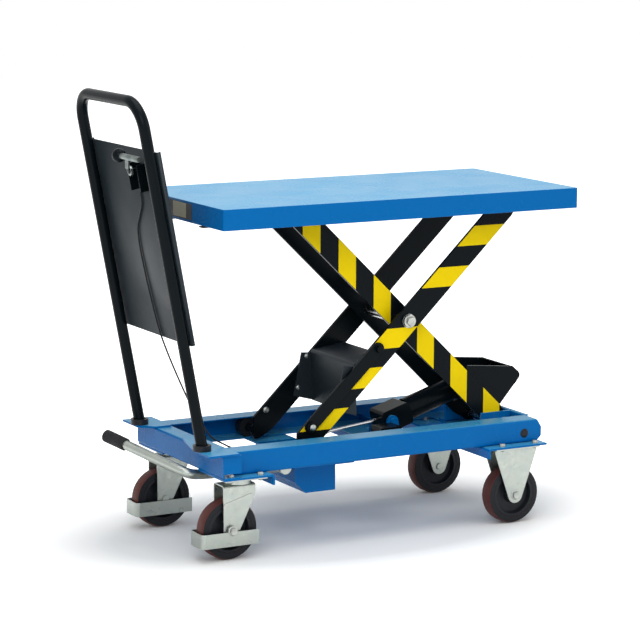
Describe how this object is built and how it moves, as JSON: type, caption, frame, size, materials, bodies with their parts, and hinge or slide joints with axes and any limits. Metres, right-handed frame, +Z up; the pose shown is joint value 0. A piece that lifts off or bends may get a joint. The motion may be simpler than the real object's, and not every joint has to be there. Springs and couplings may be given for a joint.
{
  "type": "lift table",
  "caption": "mobile hydraulic lift table: castored chassis, single pair of scissor arms, flat tray platform, foot pedal pump and leaning push bow with release lever",
  "frame": {"origin": "on the floor, under the middle of the overall bounding box", "axes": "+X from the push bow towards the far end of the platform, +Y across to the side away from the pump release, +Z up from the floor"},
  "size_m": [1.195, 0.5, 1.1268],
  "materials": {
    "blue_paint": "semi-gloss blue paint on folded sheet",
    "black_paint": "semi-gloss black paint",
    "grey_paint": "satin dark grey paint",
    "zinc": "bright zinc plate",
    "bright_steel": "ground steel",
    "black_plastic": "black moulded plastic",
    "rubber": "black rubber",
    "tread": "brown-red elastic tread"
  },
  "bodies": {
    "base": {"side_rail_near": "blue_paint", "side_rail_far": "blue_paint", "front_member": "blue_paint", "rear_member": "blue_paint", "pivot_crossmember": "blue_paint", "base_pivot_shaft": "bright_steel", "cylinder_carrier": "blue_paint", "valve_block": "black_paint", "pump_saddle": "blue_paint", "pump_block": "black_paint", "pressure_pipe": "bright_steel", "push_bow": "black_paint", "bow_collar_near": "black_plastic", "bow_collar_far": "black_plastic", "bow_panel": "grey_paint", "lever_bracket": "black_paint", "release_cable": "black_plastic", "fixed_fork_near": "zinc", "fixed_fork_far": "zinc", "swivel_plate_near": "zinc", "swivel_plate_far": "zinc"},
    "inner_arms": {"inner_arm_near": "black_paint", "inner_arm_far": "black_paint", "centre_shaft": "bright_steel", "lift_bracket": "black_paint"},
    "outer_arms": {"outer_arm_near": "black_paint", "outer_arm_far": "black_paint", "cross_plate": "grey_paint"},
    "platform": {"platform_tray": "blue_paint", "roller_guide_near": "black_paint", "roller_guide_far": "black_paint", "platform_lug_near": "black_paint", "platform_lug_far": "black_paint", "platform_pivot_shaft": "bright_steel"},
    "base_roller_near": {"base_roller_near": "black_plastic"},
    "base_roller_far": {"base_roller_far": "black_plastic"},
    "top_roller_near": {"top_roller_near": "black_plastic"},
    "top_roller_far": {"top_roller_far": "black_plastic"},
    "service_prop": {"service_prop": "black_paint"},
    "cylinder": {"cylinder": "black_paint"},
    "piston_rod": {"piston_rod": "bright_steel"},
    "pedal": {"pedal_shaft": "zinc", "pedal_tube": "zinc", "pedal_sleeve": "rubber"},
    "pump_plunger": {"pump_plunger": "bright_steel"},
    "release_lever": {"release_lever": "black_paint"},
    "valve_lever": {"valve_lever": "zinc"},
    "swivel_near": {"swivel_fork_near": "zinc", "wheel_guard_near": "zinc"},
    "swivel_far": {"swivel_fork_far": "zinc", "wheel_guard_far": "zinc"},
    "wheel_swivel_near": {"hub_swivel_near": "black_plastic", "tyre_swivel_near": "tread"},
    "wheel_swivel_far": {"hub_swivel_far": "black_plastic", "tyre_swivel_far": "tread"},
    "wheel_fixed_near": {"hub_fixed_near": "black_plastic", "tyre_fixed_near": "tread"},
    "wheel_fixed_far": {"hub_fixed_far": "black_plastic", "tyre_fixed_far": "tread"}
  },
  "joints": [
    {"name": "scissor_lift", "type": "hinge", "parent": "base", "child": "inner_arms", "pos_m": [0.48465, 0, 0.2379], "axis": [0, 1, 0], "range_deg": [-32.5, 15.2]},
    {"name": "scissor_cross", "type": "hinge", "parent": "inner_arms", "child": "outer_arms", "pos_m": [0.17893, 0, 0.53313], "axis": [0, 1, 0], "range_deg": [-31, 66]},
    {"name": "platform_level", "type": "hinge", "parent": "outer_arms", "child": "platform", "pos_m": [0.48465, 0, 0.82836], "axis": [0, 1, 0], "range_deg": [-33, 16]},
    {"name": "base_roller_spin_near", "type": "hinge", "parent": "outer_arms", "child": "base_roller_near", "pos_m": [-0.12679, -0.174, 0.2379], "axis": [0, 1, 0], "continuous": true},
    {"name": "top_roller_spin_near", "type": "hinge", "parent": "inner_arms", "child": "top_roller_near", "pos_m": [-0.12679, -0.096, 0.82836], "axis": [0, 1, 0], "continuous": true},
    {"name": "base_roller_spin_far", "type": "hinge", "parent": "outer_arms", "child": "base_roller_far", "pos_m": [-0.12679, 0.174, 0.2379], "axis": [0, 1, 0], "continuous": true},
    {"name": "top_roller_spin_far", "type": "hinge", "parent": "inner_arms", "child": "top_roller_far", "pos_m": [-0.12679, 0.096, 0.82836], "axis": [0, 1, 0], "continuous": true},
    {"name": "prop_swing", "type": "hinge", "parent": "outer_arms", "child": "service_prop", "pos_m": [-0.10035, -0.1253, 0.289], "axis": [0, -1, 0], "range_deg": [0, 135]},
    {"name": "cylinder_tilt", "type": "hinge", "parent": "base", "child": "cylinder", "pos_m": [0.18365, 0, 0.26], "axis": [0, 1, 0], "range_deg": [-1.6, 0.8]},
    {"name": "rod_slide", "type": "slide", "parent": "cylinder", "child": "piston_rod", "axis": [0.9561, 0, 0.2932], "range_m": [-0.0626, 0.0295]},
    {"name": "pedal_press", "type": "hinge", "parent": "base", "child": "pedal", "pos_m": [-0.15635, 0, 0.185], "axis": [0, -1, 0], "range_deg": [0, 10], "stiffness_Nm_per_rad": 12, "springref_deg": -28.65},
    {"name": "plunger_slide", "type": "slide", "parent": "base", "child": "pump_plunger", "axis": [1, 0, 0], "range_m": [0, 0.0048]},
    {"name": "release_lever_turn", "type": "hinge", "parent": "base", "child": "release_lever", "pos_m": [-0.5524, -0.085, 0.94796], "axis": [-0.9825, 0, -0.186], "range_deg": [0, 25], "stiffness_Nm_per_rad": 2, "springref_deg": -11.46},
    {"name": "valve_turn", "type": "hinge", "parent": "base", "child": "valve_lever", "pos_m": [0.14165, -0.104, 0.242], "axis": [0, -1, 0], "range_deg": [0, 25]},
    {"name": "castor_swivel_near", "type": "hinge", "parent": "base", "child": "swivel_near", "pos_m": [-0.33535, -0.187, 0.1865], "axis": [0, 0, 1], "continuous": true},
    {"name": "wheel_spin_swivel_near", "type": "hinge", "parent": "swivel_near", "child": "wheel_swivel_near", "pos_m": [-0.36435, -0.187, 0.075], "axis": [0, 1, 0], "continuous": true},
    {"name": "wheel_spin_fixed_near", "type": "hinge", "parent": "base", "child": "wheel_fixed_near", "pos_m": [0.44665, -0.188, 0.075], "axis": [0, 1, 0], "continuous": true},
    {"name": "castor_swivel_far", "type": "hinge", "parent": "base", "child": "swivel_far", "pos_m": [-0.33535, 0.187, 0.1865], "axis": [0, 0, 1], "continuous": true},
    {"name": "wheel_spin_swivel_far", "type": "hinge", "parent": "swivel_far", "child": "wheel_swivel_far", "pos_m": [-0.36435, 0.187, 0.075], "axis": [0, 1, 0], "continuous": true},
    {"name": "wheel_spin_fixed_far", "type": "hinge", "parent": "base", "child": "wheel_fixed_far", "pos_m": [0.44665, 0.188, 0.075], "axis": [0, 1, 0], "continuous": true}
  ],
  "couplings": [
    {"joint": "scissor_cross", "follows": "scissor_lift", "ratio": -2},
    {"joint": "platform_level", "follows": "scissor_lift", "ratio": 1},
    {"joint": "cylinder_tilt", "follows": "scissor_lift", "ratio": 0.048},
    {"joint": "rod_slide", "follows": "scissor_lift", "m_per_rad": 0.11},
    {"joint": "plunger_slide", "follows": "pedal_press", "m_per_rad": 0.026},
    {"joint": "valve_turn", "follows": "release_lever_turn", "ratio": 1}
  ]
}
